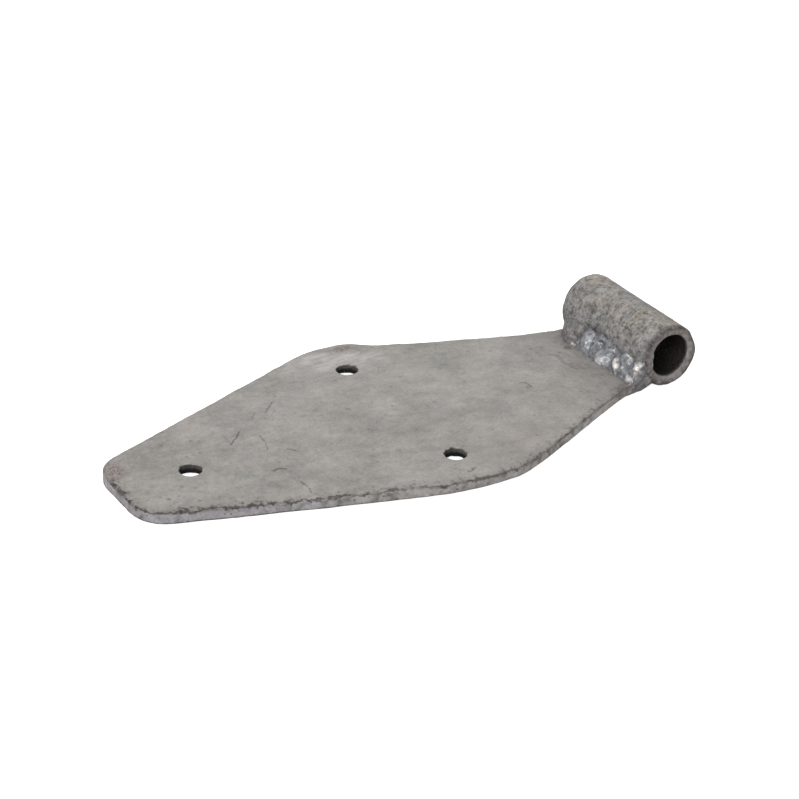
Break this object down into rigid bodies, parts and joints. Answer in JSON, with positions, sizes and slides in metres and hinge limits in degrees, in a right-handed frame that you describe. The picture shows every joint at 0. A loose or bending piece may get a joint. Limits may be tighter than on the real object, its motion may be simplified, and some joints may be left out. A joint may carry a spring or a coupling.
{
  "type": "strap hinge",
  "caption": "Galvanised strap hinge leaf: a flat diamond-shaped strap plate with bolt holes, welded to a plain knuckle tube that turns on a pin.",
  "frame": {"origin": "centre of the knuckle tube's bore, at the middle of its length", "axes": "+Y along the bore; the strap runs from the tube towards -X and ends at its tip; +Z is the face that the top weld lies on, and the flat underside faces -Z"},
  "size_m": [0.2705, 0.1341, 0.029],
  "materials": {
    "galvanised_plate": "weathered matt hot-dip zinc, warm grey with pits and streaks",
    "galvanised_tube": "mottled semi-matt hot-dip zinc",
    "galvanised_weld": "lumpy, brighter, glossy hot-dip zinc"
  },
  "bodies": {
    "root": {"strap_plate": "galvanised_plate", "knuckle_tube": "galvanised_tube", "top_weld": "galvanised_weld", "underside_weld": "galvanised_weld", "front_end_weld": "galvanised_weld", "back_end_weld": "galvanised_weld"}
  },
  "joints": []
}
